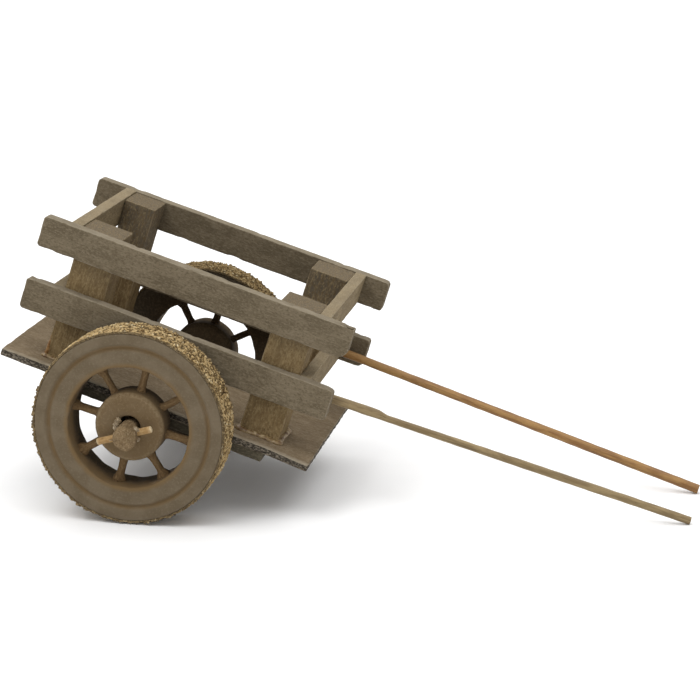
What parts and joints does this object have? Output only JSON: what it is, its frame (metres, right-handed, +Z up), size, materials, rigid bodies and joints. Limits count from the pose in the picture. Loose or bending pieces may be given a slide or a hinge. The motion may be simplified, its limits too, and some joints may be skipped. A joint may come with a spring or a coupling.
{
  "type": "garden cart",
  "caption": "Miniature wooden handcart with a railed flat bed, spoked wheels with cork treads and long round shafts, resting on its wheels and shaft tips.",
  "frame": {"origin": "on the ground, in the middle of the overall length and on the centre plane", "axes": "+X points to the tips of the shafts, +Y to the left of the cart, +Z up; the cart stands on its wheels and its shaft tips, so its bed slopes down towards +X"},
  "size_m": [0.216, 0.112, 0.0925],
  "materials": {
    "bed_wood": "matte, stained and weathered",
    "rail_wood": "matte, stained and weathered",
    "post_wood": "matte, rough",
    "axle_wood": "matte, bare",
    "tread_cork": "granular cork",
    "wheel_paint": "matte paint over wood",
    "spoke_wood": "matte paint over wood",
    "bamboo_golden": "satin, stained bamboo",
    "bamboo_dull": "satin, bare bamboo",
    "toothpick_wood": "matte, bare",
    "dried_glue": "dull dried glue, stained"
  },
  "bodies": {
    "chassis": {"bed_board": "bed_wood", "bed_runner_front_right": "bed_wood", "bed_runner_front_left": "bed_wood", "bed_runner_rear_right": "bed_wood", "bed_runner_rear_left": "bed_wood", "axle_beam": "axle_wood", "post_front_right": "post_wood", "glue_bead_front_right": "dried_glue", "post_front_left": "post_wood", "glue_bead_front_left": "dried_glue", "post_rear_right": "post_wood", "glue_bead_rear_right": "dried_glue", "post_rear_left": "post_wood", "glue_bead_rear_left": "dried_glue", "side_rail_lower_right": "rail_wood", "side_rail_lower_left": "rail_wood", "cross_rail_lower_front": "rail_wood", "cross_rail_lower_rear": "rail_wood", "side_rail_upper_right": "rail_wood", "side_rail_upper_left": "rail_wood", "cross_rail_upper_front": "rail_wood", "cross_rail_upper_rear": "rail_wood", "shaft_right": "bamboo_dull", "shaft_left": "bamboo_golden", "linchpin_right": "toothpick_wood", "linchpin_left": "toothpick_wood"},
    "wheel_right": {"wheel_ring_right": "wheel_paint", "wheel_tread_right": "tread_cork", "wheel_hub_right": "wheel_paint", "spoke_right_1": "spoke_wood", "spoke_right_2": "spoke_wood", "spoke_right_3": "spoke_wood", "spoke_right_4": "spoke_wood", "spoke_right_5": "spoke_wood", "spoke_right_6": "spoke_wood", "spoke_right_7": "spoke_wood", "spoke_right_8": "spoke_wood"},
    "wheel_left": {"wheel_ring_left": "wheel_paint", "wheel_tread_left": "tread_cork", "wheel_hub_left": "wheel_paint", "spoke_left_1": "spoke_wood", "spoke_left_2": "spoke_wood", "spoke_left_3": "spoke_wood", "spoke_left_4": "spoke_wood", "spoke_left_5": "spoke_wood", "spoke_left_6": "spoke_wood", "spoke_left_7": "spoke_wood", "spoke_left_8": "spoke_wood"}
  },
  "joints": [
    {"name": "wheel_right_spin", "type": "hinge", "parent": "chassis", "child": "wheel_right", "pos_m": [-0.06306, -0.04425, 0.0308], "axis": [0, 1, 0], "continuous": true},
    {"name": "wheel_left_spin", "type": "hinge", "parent": "chassis", "child": "wheel_left", "pos_m": [-0.06306, 0.04315, 0.0308], "axis": [0, 1, 0], "continuous": true}
  ]
}
